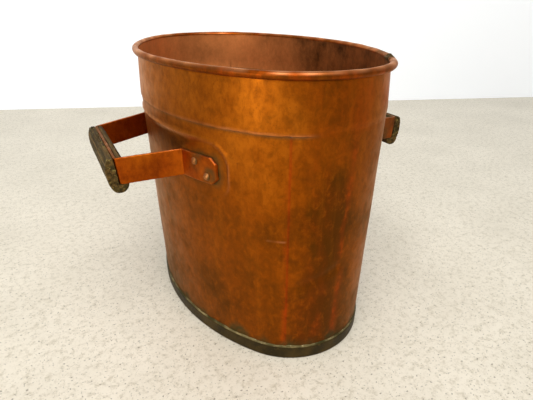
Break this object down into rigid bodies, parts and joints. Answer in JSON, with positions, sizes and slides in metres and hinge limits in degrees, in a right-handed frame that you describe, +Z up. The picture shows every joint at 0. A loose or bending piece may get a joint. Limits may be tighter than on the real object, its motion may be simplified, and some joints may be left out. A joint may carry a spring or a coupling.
{
  "type": "oval copper boiler",
  "caption": "Tall open oval copper vessel with a tapered wall, wired rim, dark bottom pan and two riveted strap handles with slotted wooden grips.",
  "frame": {"origin": "middle of the underside, on the surface that the vessel stands on", "axes": "+Z up out of the mouth; Y along the oval; X across it, through both handles"},
  "size_m": [0.482, 0.509, 0.4],
  "materials": {
    "copper_sheet": "aged orange-brown copper, satin, hammered",
    "copper_strap": "aged red-brown copper bar, satin",
    "copper_rivet": "dull hammered copper with dirt round the heads",
    "seam_braze": "reddish brazed line",
    "pan_copper": "dark olive-black oxide, dull",
    "soft_solder": "dull grey-tan solder with verdigris",
    "iron_wire": "dark iron",
    "old_wood": "weathered grey-green wood, cracked"
  },
  "bodies": {
    "root": {"collar": "copper_sheet", "rim_wire": "iron_wire", "collar_solder": "soft_solder", "wall_sheet_left": "copper_sheet", "wall_sheet_right": "copper_sheet", "seam_front": "seam_braze", "seam_back": "seam_braze", "bottom_pan": "pan_copper", "pan_solder": "soft_solder", "backing_plate_left": "copper_sheet", "backing_plate_right": "copper_sheet", "handle_strap_left": "copper_strap", "handle_strap_right": "copper_strap", "rivets_left_front": "copper_rivet", "rivets_left_back": "copper_rivet", "rivets_right_front": "copper_rivet", "rivets_right_back": "copper_rivet", "grip_left": "old_wood", "grip_right": "old_wood", "grip_nails_left": "iron_wire", "grip_nails_right": "iron_wire"}
  },
  "joints": []
}
